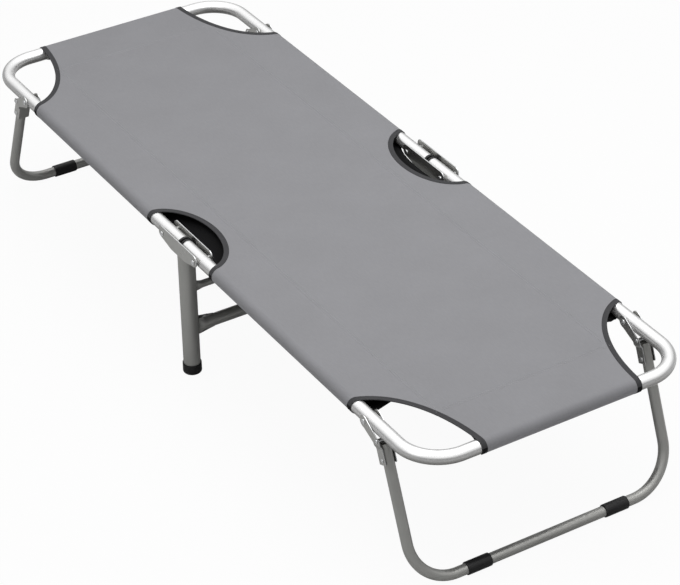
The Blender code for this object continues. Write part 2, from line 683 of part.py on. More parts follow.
def make_floor_sleeve(name, x, leg):
    """A soft sleeve on the leg's floor bar, on which the end of the cot stands."""
    bore = LEG_TUBE_RADIUS + CLEARANCE
    half = SLEEVE_LENGTH / 2
    edge = SLEEVE_WALL / 2
    profile = [
        (-half, bore),
        (-half, SLEEVE_RADIUS - edge),
        (-half + edge, SLEEVE_RADIUS),
        (half - edge, SLEEVE_RADIUS),
        (half, SLEEVE_RADIUS - edge),
        (half, bore),
    ]
    sleeve = turned(profile, LEG_SIDES, "X", bored=True)
    add_object(name, sleeve, "black_plastic", leg, location=(x, *on_leg(LEG_LENGTH, 0)))


def make_half(end, sign):
    """One half of the cot. The foot half is the head half turned round by half a turn."""
    half = make_empty(f"{end}_half", (0, sign * FOLD_PIN_Y, FRAME_AXIS_HEIGHT), 0 if sign > 0 else math.pi)
    leg = make_empty(f"{end}_leg", (0, LEG_PIVOT_Y - FOLD_PIN_Y, 0), parent=half)
    make_frame_tube(end, half)
    make_cloth(end, half)
    make_leg_tube(end, leg)
    for side_name, x in (("left", -sign * SIDE_X), ("right", sign * SIDE_X)):
        make_end_plug(f"{end}_end_plug_{side_name}", x, half)
        make_leg_pivot_rivet(f"{end}_leg_pivot_{side_name}", x, half)
        make_leg_bracket(f"{end}_leg_bracket_{side_name}", x, leg)
        make_stop_pin(f"{end}_stop_pin_{side_name}", x, leg)
        make_leg_rivet(f"{end}_leg_rivet_{side_name}", x, leg)
        make_floor_sleeve(f"{end}_floor_sleeve_{side_name}", math.copysign(SLEEVE_CENTRE, x), leg)


clear_scene()
make_materials()
make_centre()
make_half("head", 1)
make_half("foot", -1)
print(f"leg slant {math.degrees(LEG_SLANT):.2f} degrees, leg length {LEG_LENGTH:.4f} m")
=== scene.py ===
# Folding camping cot, dressed for the picture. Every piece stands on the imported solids, in metres, +Z up.
import math

import bmesh
import bpy
from mathutils import Matrix, Vector, noise


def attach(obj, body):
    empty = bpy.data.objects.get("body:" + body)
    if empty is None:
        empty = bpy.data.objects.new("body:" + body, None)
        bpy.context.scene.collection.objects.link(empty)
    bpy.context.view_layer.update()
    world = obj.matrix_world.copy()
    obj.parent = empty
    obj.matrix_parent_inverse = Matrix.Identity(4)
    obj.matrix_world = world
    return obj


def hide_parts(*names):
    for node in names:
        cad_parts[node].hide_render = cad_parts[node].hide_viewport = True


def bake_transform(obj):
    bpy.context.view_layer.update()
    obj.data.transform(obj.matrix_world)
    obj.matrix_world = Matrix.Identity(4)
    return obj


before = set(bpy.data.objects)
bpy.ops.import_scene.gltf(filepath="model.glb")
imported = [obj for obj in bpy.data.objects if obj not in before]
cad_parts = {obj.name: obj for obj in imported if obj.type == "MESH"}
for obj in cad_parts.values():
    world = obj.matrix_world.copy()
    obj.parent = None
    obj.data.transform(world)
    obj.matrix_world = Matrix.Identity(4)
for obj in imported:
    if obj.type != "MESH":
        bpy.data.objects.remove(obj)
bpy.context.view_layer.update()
print("solids loaded:", len(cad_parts))

# places that several pieces share
cot = {
    "sideX": 0.3125,  # side rails' axes from the middle line
    "endY": 0.9255,  # end rail's axis from the centre
    "axisZ": 0.328,  # rails' axes above the floor
    "pinY": 0.068,  # fold rivets from the centre
    "legPivotY": 0.738,  # end leg pivots from the centre
    "legSlant": math.radians(21.904),
    "legLength": 0.35289,
    "legOffset": 0.036,
    "fit": 0.0003,  # running gap between pieces
}
ends = {"head": Matrix(), "foot": Matrix.Rotation(math.pi, 4, "Z")}
sides = {"left": -1, "right": 1}


# colours and materials


def linear(hexColour):
    parts = [int(hexColour[i : i + 2], 16) / 255 for i in (1, 3, 5)]
    return [c / 12.92 if c <= 0.04045 else ((c + 0.055) / 1.055) ** 2.4 for c in parts] + [1.0]


def addNode(tree, kind, settings, links=None):
    node = tree.nodes.new(kind)
    for key, value in settings.items():
        if isinstance(key, int) or key in node.inputs:
            node.inputs[key].default_value = value
        else:
            setattr(node, key, value)
    for key, source in (links or {}).items():
        tree.links.new(source, node.inputs[key])
    return node


def newMaterial(name, shaderSettings):
    material = bpy.data.materials.new(name)
    material.use_nodes = True
    tree = material.node_tree
    tree.nodes.clear()
    shader = addNode(tree, "ShaderNodeBsdfPrincipled", shaderSettings)
    addNode(tree, "ShaderNodeOutputMaterial", {}, {"Surface": shader.outputs[0]})
    return material, tree, shader


def blendColours(tree, factor, low, high, share=1.0):
    # low and high are hex colours, or another node's colour for low; share weakens the blend
    node = addNode(tree, "ShaderNodeMix", {"data_type": "RGBA", 7: linear(high)})
    if isinstance(low, str):
        node.inputs[6].default_value = linear(low)
    else:
        tree.links.new(low, node.inputs[6])
    if share < 1:
        factor = addNode(tree, "ShaderNodeMath", {"operation": "MULTIPLY", 1: share}, {0: factor}).outputs[0]
    tree.links.new(factor, node.inputs[0])
    return node.outputs[2]


def addBump(tree, shader, height, distance, strength):
    bump = addNode(tree, "ShaderNodeBump", {"Distance": distance, "Strength": strength}, {"Height": height})
    tree.links.new(bump.outputs[0], shader.inputs["Normal"])


def mapRange(tree, source, fromLow, fromHigh, toLow, toHigh):
    settings = {"From Min": fromLow, "From Max": fromHigh, "To Min": toLow, "To Max": toHigh}
    return addNode(tree, "ShaderNodeMapRange", settings, {"Value": source}).outputs[0]


def addNoise(tree, place, scale, detail=2.0):
    settings = {"Scale": scale, "Detail": detail}
    return addNode(tree, "ShaderNodeTexNoise", settings, {"Vector": place}).outputs[0]


def ownPlace(tree):
    # metres on the piece itself, so that a pattern rides with it
    return addNode(tree, "ShaderNodeTexCoord", {}).outputs["Object"]


def makeSatinAluminium():
    # Satin anodised aluminium tube, with a painted highlight and painted shade: its top is painted brighter
    # and more metallic, and its underside darker and greyer, by height. Its gloss is soft, with faint clouds
    # a few centimetres long.
    material, tree, shader = newMaterial("satinAnodisedAluminium", {})
    place = ownPlace(tree)
    cloud = addNoise(tree, place, 22.0, 3.0)
    height = addNode(tree, "ShaderNodeSeparateXYZ", {}, {0: place}).outputs[2]
    # painted highlight on the top and painted shade beneath, graded by height over the rails' axes
    paintedTopLight = mapRange(tree, height, cot["axisZ"] - 0.004, cot["axisZ"] + 0.008, 0.0, 1.0)
    colour = blendColours(tree, paintedTopLight, "#8c8b89", "#ebebeb")
    tree.links.new(blendColours(tree, cloud, colour, "#c3c3c3", 0.1), shader.inputs["Base Color"])
    tree.links.new(mapRange(tree, paintedTopLight, 0.0, 1.0, 0.35, 0.75), shader.inputs["Metallic"])
    tree.links.new(mapRange(tree, cloud, 0.35, 0.65, 0.24, 0.32), shader.inputs["Roughness"])
    return material


def makeSteel(name, low, high, metallic, roughSpan, grain, bump):
    # Steel with a thin coat: even at a distance, with faint clouds in its gloss and a fine orange peel
    material, tree, shader = newMaterial(name, {"Metallic": metallic})
    place = ownPlace(tree)
    cloud = addNoise(tree, place, 16.0, 4.0)
    peel = addNoise(tree, place, grain, 1.0)
    tree.links.new(blendColours(tree, cloud, low, high), shader.inputs["Base Color"])
    tree.links.new(mapRange(tree, cloud, 0.35, 0.65, *roughSpan), shader.inputs["Roughness"])
    addBump(tree, shader, peel, 0.0001, bump)
    return material


def makeMouldedPlastic():
    # Moulded polypropylene: black with a soft sheen and a spark-eroded grain under a millimetre wide
    material, tree, shader = newMaterial("mouldedPolypropylene", {"IOR": 1.49, "Specular IOR Level": 0.3})
    place = ownPlace(tree)
    grain = addNode(tree, "ShaderNodeTexVoronoi", {"Scale": 1400.0}, {"Vector": place})
    dust = addNoise(tree, place, 60.0, 4.0)
    tree.links.new(blendColours(tree, dust, "#0b0b0c", "#161617"), shader.inputs["Base Color"])
    tree.links.new(mapRange(tree, dust, 0.0, 1.0, 0.38, 0.56), shader.inputs["Roughness"])
    addBump(tree, shader, grain.outputs[0], 0.00012, 0.4)
    return material


bandAtScaleOne = 0.314  # metres from one rib to the next in a wave texture of scale 1


def makeWoven(name, low, high, pitch, rough, sheen, slub, gloss=0.5):
    # Woven polyester, plain weave: matt, slightly mottled where yarns are thicker, with crossing ribs.
    # The real yarns are about half a millimetre apart, drawn coarser so that the ribs still show.
    settings = {"Roughness": rough, "Specular IOR Level": gloss}
    settings.update({"Sheen Weight": sheen, "Sheen Roughness": 0.6})
    material, tree, shader = newMaterial(name, settings)
    place = addNode(tree, "ShaderNodeUVMap", {"uv_map": "flatCut"}).outputs[0]
    ribs = {"Scale": bandAtScaleOne / pitch, "Distortion": 0.6, "Detail": 1.0, "Detail Scale": 3.0}
    waves = {}
    for i, direction in enumerate("XY"):
        settings = {"bands_direction": direction, **ribs}
        waves[i] = addNode(tree, "ShaderNodeTexWave", settings, {"Vector": place}).outputs["Fac"]
    weave = addNode(tree, "ShaderNodeMath", {"operation": "MULTIPLY"}, waves).outputs[0]
    stretch = addNode(tree, "ShaderNodeMapping", {"Scale": (260.0, 60.0, 1.0)}, {"Vector": place})
    yarn = addNoise(tree, stretch.outputs[0], 1.0, 3.0)
    mottle = addNoise(tree, place, 9.0, 5.0)
    thick = {"operation": "MULTIPLY_ADD", 1: slub}
    tone = addNode(tree, "ShaderNodeMath", thick, {0: yarn, 2: mottle}).outputs[0]
    spread = mapRange(tree, tone, 0.3, 0.9 + slub * 0.7, 0.0, 1.0)
    tree.links.new(blendColours(tree, spread, low, high), shader.inputs["Base Color"])
    addBump(tree, shader, weave, 0.0003, 0.5)
    return material


def makeThread(name, low, high):
    # Bonded polyester thread: a little shinier than the cloth, so that each stitch catches the light
    material, tree, shader = newMaterial(name, {"Roughness": 0.5})
    tone = addNoise(tree, ownPlace(tree), 700.0)
    tree.links.new(blendColours(tree, tone, low, high), shader.inputs["Base Color"])
    return material


finish = {
    "rail": makeSatinAluminium(),
    "leg": makeSteel("greyEnamelledSteel", "#9b9b98", "#a6a6a3", 0.55, (0.36, 0.44), 600.0, 0.08),
    "hinge": makeSteel("greyEnamelledSheet", "#a3a3a0", "#afafac", 0.85, (0.26, 0.36), 600.0, 0.08),
    "plated": makeSteel("zincPlatedSteel", "#c2c3c4", "#d6d7d8", 0.85, (0.24, 0.34), 500.0, 0.1),
    "plastic": makeMouldedPlastic(),
    "cloth": makeWoven("greyOxfordPolyester", "#88888b", "#939397", 0.0016, 0.86, 0.1, 0.8),
    "coating": makeWoven("blackCoatedBack", "#0c0c0d", "#141415", 0.0016, 0.8, 0.0, 0.5, gloss=0.08),
    "tape": makeWoven("darkBindingTape", "#353537", "#424244", 0.0022, 0.8, 0.05, 0.6, gloss=0.25),
    # painted shade: a black copy of the binding tape, for its lower and down-turned faces
    "tapeShade": makeWoven("paintedShadeBindingTape", "#121213", "#1b1b1c", 0.0022, 0.85, 0.0, 0.6, gloss=0.1),
    "thread": makeThread("bondedGreyThread", "#8d8d91", "#b4b4b8"),
    "darkThread": makeThread("bondedBlackThread", "#2c2c2e", "#3c3c3f"),
}
print("materials made:", len(finish))


# mesh helpers


def addRing(bm, radius, count, place):
    made = bmesh.ops.create_circle(bm, segments=count, radius=radius, matrix=place)
    return list({edge for vert in made["verts"] for edge in vert.link_edges})


def ofType(geom, kind):
    return [item for item in geom if isinstance(item, kind)]


def pushRing(bm, edges, step):
    made = bmesh.ops.extrude_edge_only(bm, edges=edges)["geom"]
    bmesh.ops.translate(bm, verts=ofType(made, bmesh.types.BMVert), vec=step)
    return ofType(made, bmesh.types.BMEdge)


def bendRing(bm, edges, centre, axis, degrees, steps):
    geom = edges + list({vert for edge in edges for vert in edge.verts})
    made = bmesh.ops.spin(bm, geom=geom, cent=centre, axis=axis, angle=math.radians(degrees), steps=steps)
    return ofType(made["geom_last"], bmesh.types.BMEdge)


def tidyMesh(bm):
    bmesh.ops.remove_doubles(bm, verts=bm.verts, dist=1e-6)
    bmesh.ops.recalc_face_normals(bm, faces=bm.faces)


def turnProfile(points, count, place, bored=False):
    # points are (along, radius), turned round the local Z axis
    bm = bmesh.new()
    verts = [bm.verts.new((radius, 0, along)) for along, radius in points]
    edges = [bm.edges.new(pair) for pair in zip(verts, verts[1:])]
    if bored:
        edges.append(bm.edges.new((verts[-1], verts[0])))
    whole = {"cent": (0, 0, 0), "axis": (0, 0, 1), "angle": math.tau, "steps": count}
    bmesh.ops.spin(bm, geom=verts + edges, use_merge=True, **whole)
    tidyMesh(bm)
    bmesh.ops.transform(bm, matrix=place, verts=bm.verts)
    return bm


def arcPoints(centre, radius, start, end, steps):
    angles = [math.radians(start + (end - start) * i / steps) for i in range(steps + 1)]
    return [(centre[0] + radius * math.cos(a), centre[1] + radius * math.sin(a)) for a in angles]


def smoothStep(value, low, high):
    part = min(max((value - low) / (high - low), 0.0), 1.0)
    return part * part * (3 - 2 * part)


def smoothMesh(mesh, degrees):
    mesh.shade_smooth()
    mesh.set_sharp_from_angle(angle=math.radians(degrees))


def newObject(name, bm, materials):
    mesh = bpy.data.meshes.new(name)
    bm.to_mesh(mesh)
    bm.free()
    for key in materials:
        mesh.materials.append(finish[key])
    made = bpy.data.objects.new(name, mesh)
    bpy.context.scene.collection.objects.link(made)
    return made


def addPiece(name, bm, material, body, slotName, nodes, wall=0.0, outwards=False, bevel=0.0, sharp=38):
    # material names the finish, and after it the one for a sheet's cut edges where that differs
    bm.edges.index_update()
    rims = [edge.index for edge in bm.edges if edge.is_boundary]
    piece = newObject(name, bm, material.split())
    mesh = piece.data
    smoothMesh(mesh, sharp)
    for i in rims:
        mesh.edges[i].use_edge_sharp = True
    if wall:
        solid = piece.modifiers.new("wall", "SOLIDIFY")
        solid.thickness = wall
        solid.offset = 1.0 if outwards else -1.0
        solid.material_offset_rim = len(mesh.materials) - 1
        if outwards:
            solid.solidify_mode = "NON_MANIFOLD"
            solid.nonmanifold_thickness_mode = "CONSTRAINTS"
        else:
            solid.use_even_offset = True
    if bevel:
        edge = piece.modifiers.new("edges", "BEVEL")
        edge.width = bevel
        edge.segments = 2
        edge.limit_method = "ANGLE"
        edge.angle_limit = math.radians(50)
        edge.harden_normals = True
    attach(piece, body)
    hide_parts(*nodes)


# turns local Z to the axis named
along = {"X": Matrix.Rotation(math.pi / 2, 4, "Y"), "Y": Matrix.Rotation(-math.pi / 2, 4, "X")}

# U-bent tubes

rail = {"radius": 0.0150, "wall": 0.0012, "corner": 0.088, "startY": 0.0078, "sides": 48}
legBow = {"radius": 0.0115, "wall": 0.0012, "corner": 0.096, "top": 0.044, "sides": 40}
tubeRings = {"arm": 6, "middle": 4, "bend": 22}


def makeBentTube(shape, start, end, height):
    bm = bmesh.new()
    x, corner, steps = cot["sideX"], shape["corner"], tubeRings["bend"]
    armStep = (end - corner - start) / tubeRings["arm"]
    middleStep = 2 * (x - corner) / tubeRings["middle"]
    edges = addRing(bm, shape["radius"], shape["sides"], Matrix.Translation((-x, start, height)) @ along["Y"])
    for _ in range(tubeRings["arm"]):
        edges = pushRing(bm, edges, (0, armStep, 0))
    edges = bendRing(bm, edges, (-x + corner, end - corner, height), (0, 0, -1), 90, steps)
    for _ in range(tubeRings["middle"]):
        edges = pushRing(bm, edges, (middleStep, 0, 0))
    edges = bendRing(bm, edges, (x - corner, end - corner, height), (0, 0, -1), 90, steps)
    for _ in range(tubeRings["arm"]):
        edges = pushRing(bm, edges, (0, -armStep, 0))
    tidyMesh(bm)
    return bm


legTurn = Matrix.Rotation(cot["legSlant"] - math.pi / 2, 4, "X")
legPlace = Matrix.Translation((0, cot["legPivotY"], cot["axisZ"])) @ legTurn


def onLeg(down, outboard):
    # a point of the leg's plane from the pivot, as (y, z)
    sine, cosine = math.sin(cot["legSlant"]), math.cos(cot["legSlant"])
    out = cot["legOffset"] + outboard
    return (sine * down + cosine * out, -cosine * down + sine * out)


for end, turn in ends.items():
    bm = makeBentTube(rail, rail["startY"], cot["endY"], cot["axisZ"])
    bmesh.ops.transform(bm, matrix=turn, verts=bm.verts)
    addPiece(f"{end}_rail", bm, "rail", f"{end}_half", "frame_tube", [f"{end}_frame_tube"], rail["wall"])
    bm = makeBentTube(legBow, legBow["top"], cot["legLength"], cot["legOffset"])
    bmesh.ops.transform(bm, matrix=turn @ legPlace, verts=bm.verts)
    addPiece(f"{end}_leg_bow", bm, "leg", f"{end}_leg", "leg_tube", [f"{end}_leg_tube"], legBow["wall"])
print("tubes bent")

# folded sheet pieces: hinge channels and end leg brackets

channel = {
    "reach": 0.082,
    "thickness": 0.0025,
    "inner": 0.0180,
    "top": 0.0180,
    "floorHalf": 0.0300,
    "floorZ": -0.0173,
    "corner": 0.0120,
    "cornerSteps": 12,
    "underCurve": ((0.75, -0.0096), (0.40, -0.0078), (0.12, -0.0045)),  # corners in from the end, z
    "foldRadius": 0.0040,
    "bevel": 0.0006,
}
bracket = {
    "thickness": 0.0018,
    "upperInner": 0.0156,
    "lowerInner": 0.0118,
    "lugRadius": 0.0135,
    "lugArc": (60, 270, 28),  # from, to and steps
    "start": 0.040,  # its web's ends, down the leg from the pivot
    "end": 0.087,
    "outboard": 0.0095,  # from the leg's axis
    "topDrop": 0.010,
    "lowCorner": ((0.0, 0.0030), (0.0009, 0.0009), (0.0030, 0.0)),  # up from the end, in from the edge
    "topCorner": ((0.0050, 0.0008), (0.0015, 0.0028), (-0.0005, 0.0065)),  # down from the top, in
    "joggle": (0.043, 0.053),
    "joggleSteps": 8,
    "foldRadius": 0.0035,
    "bevel": 0.0004,
}
sheetFold = {"least": 1.2, "segments": 5}  # the least angle that is a fold, and its roundness


def foldSheet(outline, webEdge, inner, foldRadius):
    # two equal leaves in YZ and the web between them, with the folds rounded
    bm = bmesh.new()
    leaves = []
    for side in (-1, 1):
        verts = [bm.verts.new((side * inner, y, z)) for y, z in outline]
        bm.faces.new(verts)
        leaves.append(verts)
    left, right = leaves
    first, second = webEdge
    bm.faces.new([left[first], left[second], right[second], right[first]])
    least, segments = sheetFold["least"], sheetFold["segments"]
    folds = [edge for edge in bm.edges if len(edge.link_faces) == 2 and edge.calc_face_angle(0) > least]
    rounding = {"offset": foldRadius, "segments": segments, "profile": 0.5, "clamp_overlap": True}
    bmesh.ops.bevel(bm, geom=folds, affect="EDGES", material=-1, **rounding)
    bmesh.ops.recalc_face_normals(bm, faces=bm.faces)
    leftFace = min(bm.faces, key=lambda face: face.calc_center_median().x)
    if leftFace.normal.x > 0:
        bmesh.ops.reverse_faces(bm, faces=bm.faces)
    return bm


def makeChannel():
    low, reach, corner = channel["floorZ"], channel["reach"], channel["corner"]
    half = [(channel["floorHalf"], low)]
    half += [(reach - corner * back, z) for back, z in channel["underCurve"]] + [(reach, 0.0)]
    half += arcPoints((reach - corner, channel["top"] - corner), corner, 0, 90, channel["cornerSteps"])
    outline = half + [(-y, z) for y, z in reversed(half)]
    return foldSheet(outline, (len(outline) - 1, 0), channel["inner"], channel["foldRadius"])


def joggle(bm):
    # the leaves close in from the rail's width to the leg's, over a few lines across the leg
    sine, cosine = math.sin(cot["legSlant"]), math.cos(cot["legSlant"])
    low, high = bracket["joggle"]
    steps = bracket["joggleSteps"]
    for i in range(steps + 1):
        geom = bm.verts[:] + bm.edges[:] + bm.faces[:]
        point = onLeg(low + (high - low) * i / steps, 0)
        bmesh.ops.bisect_plane(bm, geom=geom, plane_co=(0, *point), plane_no=(0, sine, -cosine))
    for vert in bm.verts:
        part = smoothStep(vert.co.y * sine - vert.co.z * cosine, low, high)
        vert.co.x -= math.copysign((bracket["upperInner"] - bracket["lowerInner"]) * part, vert.co.x)


def makeBracket():
    inboard = -legBow["radius"] - cot["fit"]
    outboard, lowEnd, drop = bracket["outboard"], bracket["end"], bracket["topDrop"]
    slant = cot["legSlant"]
    topDown = (math.sin(slant) * (cot["legOffset"] + outboard) + drop) / math.cos(slant)
    outline = arcPoints((0, 0), bracket["lugRadius"], *bracket["lugArc"])
    web = (len(outline), len(outline) + 1)
    outline += [onLeg(bracket["start"], inboard), onLeg(lowEnd, inboard)]
    outline += [onLeg(lowEnd - up, outboard - inwards) for up, inwards in bracket["lowCorner"]]
    outline.append(onLeg(topDown + drop, outboard))
    outline += [onLeg(topDown + down, outboard - inwards) for down, inwards in bracket["topCorner"]]
    bm = foldSheet(outline, web, bracket["upperInner"], bracket["foldRadius"])
    joggle(bm)
    return bm


def addSheetPiece(name, bm, body, node, shape):
    sheet = {"wall": shape["thickness"], "outwards": True, "bevel": shape["bevel"]}
    addPiece(name, bm, "hinge plated", body, "hinge_steel", [node], **sheet)


for sideName, side in sides.items():
    bm = makeChannel()
    bmesh.ops.translate(bm, verts=bm.verts, vec=(side * cot["sideX"], 0, cot["axisZ"]))
    addSheetPiece(f"hinge_channel_{sideName}", bm, "centre", f"centre_channel_{sideName}", channel)
    for end, turn in ends.items():
        bm = makeBracket()
        here = 1 if end == "head" else -1
        place = turn @ Matrix.Translation((here * side * cot["sideX"], cot["legPivotY"], cot["axisZ"]))
        bmesh.ops.transform(bm, matrix=place, verts=bm.verts)
        node = f"{end}_leg_bracket_{sideName}"
        addSheetPiece(f"{end}_bracket_{sideName}", bm, f"{end}_leg", node, bracket)
print("sheet pieces folded")

# rivets and pins

rivet = {"shank": 0.0030, "head": 0.0060, "height": 0.0026}
smallRivet = {"shank": 0.0022, "head": 0.0045, "height": 0.0018}
rivetForm = {
    "sides": 28,
    "rim": 0.25,  # height of a head's straight edge, as a share of its whole height
    "dome": (10, 70, 6),  # from, to and steps, in degrees
    "dimple": ((0.15, 0.7), (0.30, 0.0)),  # shares of the height down and of the radius
}
foldCollar = 0.0050  # radius of the collars that keep each rail in the middle of its channel
stopPin = {"radius": 0.0040, "y": 0.047, "z": -0.0193}
clenchDown = 0.077  # the leg tube's own rivet, down the leg from the pivot
upperGrip = bracket["upperInner"] + bracket["thickness"] + cot["fit"]
lowerGrip = bracket["lowerInner"] + bracket["thickness"] + cot["fit"]
channelGrip = channel["inner"] + channel["thickness"] + cot["fit"]


def rivetPoints(grip, size, middle=()):
    # a domed head with a small upset dimple past each end of the grip
    rim, head, height = rivetForm["rim"], size["head"], size["height"]
    dome = [(grip, size["shank"]), (grip, head)]
    for across, up in arcPoints((0, 0), 1.0, *rivetForm["dome"]):
        dome.append((grip + height * (rim + (1 - rim) * up), head * across))
    top, edge = dome[-1]
    dome += [(top - height * down, edge * share) for down, share in rivetForm["dimple"]]
    half = list(middle) + dome
    return [(-a, r) for a, r in reversed(half)] + half


def addRivet(name, points, y, z, side, turn, body, node):
    place = turn @ Matrix.Translation((side * cot["sideX"], y, z)) @ along["X"]
    bm = turnProfile(points, rivetForm["sides"], place)
    addPiece(name, bm, "plated", body, "hinge_steel", [node], sharp=50)


shoulder = bracket["upperInner"] - cot["fit"]
stopBody = [(shoulder, stopPin["radius"]), (shoulder, smallRivet["shank"])]
near, far, shank = rail["radius"] + cot["fit"], channel["inner"] - cot["fit"], rivet["shank"]
collars = [(near, shank), (near, foldCollar), (far, foldCollar), (far, shank)]
pivotPlace = (cot["legPivotY"], cot["axisZ"])
stopPlace = (cot["legPivotY"] + stopPin["y"], cot["axisZ"] + stopPin["z"])
clenchPlace = [a + b for a, b in zip(pivotPlace, onLeg(clenchDown, 0))]
foldPoints = rivetPoints(channelGrip, rivet, collars)
pivotPoints = rivetPoints(upperGrip, rivet)
stopPoints = rivetPoints(upperGrip, smallRivet, stopBody)
clenchPoints = rivetPoints(lowerGrip, smallRivet)
for sideName, side in sides.items():
    for end, turn in ends.items():
        here = side if end == "head" else -side
        name = f"fold_pin_{end}_{sideName}"
        node = f"fold_rivet_{end}_{sideName}"
        addRivet(name, foldPoints, cot["pinY"], cot["axisZ"], here, turn, "centre", node)
        for key, points, place, body, node in (
            ("pivot", pivotPoints, pivotPlace, "half", "leg_pivot"),
            ("stop", stopPoints, stopPlace, "leg", "stop_pin"),
            ("clench", clenchPoints, clenchPlace, "leg", "leg_rivet"),
        ):
            name = f"{end}_{key}_{sideName}"
            addRivet(name, points, *place, here, turn, f"{end}_{body}", f"{end}_{node}_{sideName}")
print("rivets set")

# middle leg, crossbars and plastic fittings

upright = {"radius": 0.0190, "wall": 0.0015, "low": 0.0033, "high": 0.3079, "sides": 56, "rings": 8}
footCap = {"height": 0.0250, "wall": 0.0018, "floor": 0.0030, "round": 0.0045, "lip": (0.0008, 0.0006)}
crossbars = {
    "upper": {"z": 0.217, "radius": 0.0082, "flare": 0.0040},
    "lower": {"z": 0.115, "radius": 0.0125, "flare": 0.0100},
}
crossbar = {"wall": 0.0012, "flareLength": 0.016, "land": 0.002, "pressed": 0.80, "sides": 40}
crossbarRings = {"middle": 3, "flare": 8}
plug = {"radius": 0.0170, "head": 0.0055, "gap": 0.0020, "edge": 0.0020, "spigot": 0.0150, "wall": 0.0015}
floorSleeve = {"length": 0.057, "wall": 0.0022, "x": 0.1685, "lip": 0.0016}
turned = {"sides": 48, "flat": 0.004}  # a flat ring is left inside each rounded edge, to shade cleanly

for sideName, side in sides.items():
    bm = bmesh.new()
    place = Matrix.Translation((side * cot["sideX"], 0, upright["low"]))
    edges = addRing(bm, upright["radius"], upright["sides"], place)
    for _ in range(upright["rings"]):
        edges = pushRing(bm, edges, (0, 0, (upright["high"] - upright["low"]) / upright["rings"]))
    tidyMesh(bm)
    node = f"middle_leg_{sideName}"
    addPiece(f"upright_{sideName}", bm, "leg", "centre", "leg_tube", [node], upright["wall"])
    bore = upright["radius"] + cot["fit"]
    outer = bore + footCap["wall"]
    edge, top, (down, inwards) = footCap["round"], footCap["height"], footCap["lip"]
    points = [(0, 0), (0, outer - edge - turned["flat"])]
    points += [(edge + a, outer - edge + r) for r, a in arcPoints((0, 0), edge, -90, 0, 8)]
    points += [(top - down, outer), (top, outer - inwards), (top, bore)]
    points += [(footCap["floor"], bore), (footCap["floor"], 0)]
    bm = turnProfile(points, upright["sides"], Matrix.Translation((side * cot["sideX"], 0, 0)))
    addPiece(f"cap_{sideName}", bm, "plastic", "centre", "black_plastic", [f"foot_cap_{sideName}"], sharp=45)


def makeCrossbar(shape):
    # a round bar, pressed taller and thinner where it meets each upright
    hollow = upright["radius"] + cot["fit"]
    face = cot["sideX"] - math.sqrt(hollow**2 - (shape["radius"] * crossbar["pressed"]) ** 2)
    flareEnd = face - crossbar["land"]
    flareStart = flareEnd - crossbar["flareLength"]
    middle, flare = crossbarRings["middle"], crossbarRings["flare"]
    stations = [(flareStart * i / middle, 0.0) for i in range(middle + 1)]
    for i in range(1, flare + 1):
        part = 0.5 - 0.5 * math.cos(math.pi * i / flare)
        stations.append((flareStart + crossbar["flareLength"] * i / flare, part))
    stations.append((face, 1.0))
    stations = [(-x, part) for x, part in reversed(stations[1:])] + stations
    bm = bmesh.new()
    edges = addRing(bm, 1.0, crossbar["sides"], Matrix.Translation((stations[0][0], 0, 0)) @ along["X"])
    loops = [edges]
    for (x, _), (nextX, _) in zip(stations, stations[1:]):
        edges = pushRing(bm, edges, (nextX - x, 0, 0))
        loops.append(edges)
    for (x, part), edges in zip(stations, loops):
        wide = shape["radius"] * (1 + (crossbar["pressed"] - 1) * part)
        tall = shape["radius"] + shape["flare"] * part
        verts = list({vert for edge in edges for vert in edge.verts})
        bmesh.ops.scale(bm, vec=(1, wide, tall), verts=verts)
    bmesh.ops.translate(bm, vec=(0, 0, shape["z"]), verts=bm.verts)
    # the ends are hollowed to the uprights' curve
    for vert in bm.verts:
        if abs(vert.co.x) > face - 1e-5:
            curve = cot["sideX"] - math.sqrt(hollow**2 - vert.co.y**2)
            vert.co.x = math.copysign(curve, vert.co.x)
    tidyMesh(bm)
    return bm


for name, shape in crossbars.items():
    bm = makeCrossbar(shape)
    addPiece(f"{name}_bar", bm, "leg", "centre", "leg_tube", [f"{name}_crossbar"], crossbar["wall"])

for sideName, side in sides.items():
    for end, turn in ends.items():
        here = side if end == "head" else -side
        outer, edge, face = plug["radius"], plug["edge"], plug["gap"]
        seat = face + plug["head"]
        spigot = rail["radius"] - rail["wall"] - cot["fit"]
        points = [(face, 0), (face, outer - edge - turned["flat"])]
        points += [(face + edge + a, outer - edge + r) for r, a in arcPoints((0, 0), edge, -90, 0, 6)]
        points += [(seat, outer), (seat, spigot), (seat + plug["spigot"], spigot)]
        points += [(seat + plug["spigot"], spigot - plug["wall"]), (seat, spigot - plug["wall"]), (seat, 0)]
        place = turn @ Matrix.Translation((here * cot["sideX"], 0, cot["axisZ"])) @ along["Y"]
        bm = turnProfile(points, turned["sides"], place)
        node = f"{end}_end_plug_{sideName}"
        addPiece(f"{end}_plug_{sideName}", bm, "plastic", f"{end}_half", "black_plastic", [node], sharp=45)
        bore = legBow["radius"] + cot["fit"]
        outer = bore + floorSleeve["wall"]
        half, lip = floorSleeve["length"] / 2, floorSleeve["lip"]
        rounded = [(half - lip - a, outer - lip + r) for r, a in arcPoints((0, 0), lip, -90, 0, 5)]
        points = [(-half, bore)] + [(-a, r) for a, r in rounded]
        points += list(reversed(rounded)) + [(half, bore)]
        y, z = onLeg(cot["legLength"], 0)
        place = Matrix.Translation((here * floorSleeve["x"], cot["legPivotY"] + y, cot["axisZ"] + z))
        bm = turnProfile(points, turned["sides"], turn @ place @ along["X"], bored=True)
        node = f"{end}_floor_sleeve_{sideName}"
        addPiece(f"{end}_foot_{sideName}", bm, "plastic", f"{end}_leg", "black_plastic", [node], sharp=45)
print("uprights, bars and plastics made")

# cloth: one sheet for each half, with a sleeve round both side rails and the end rail

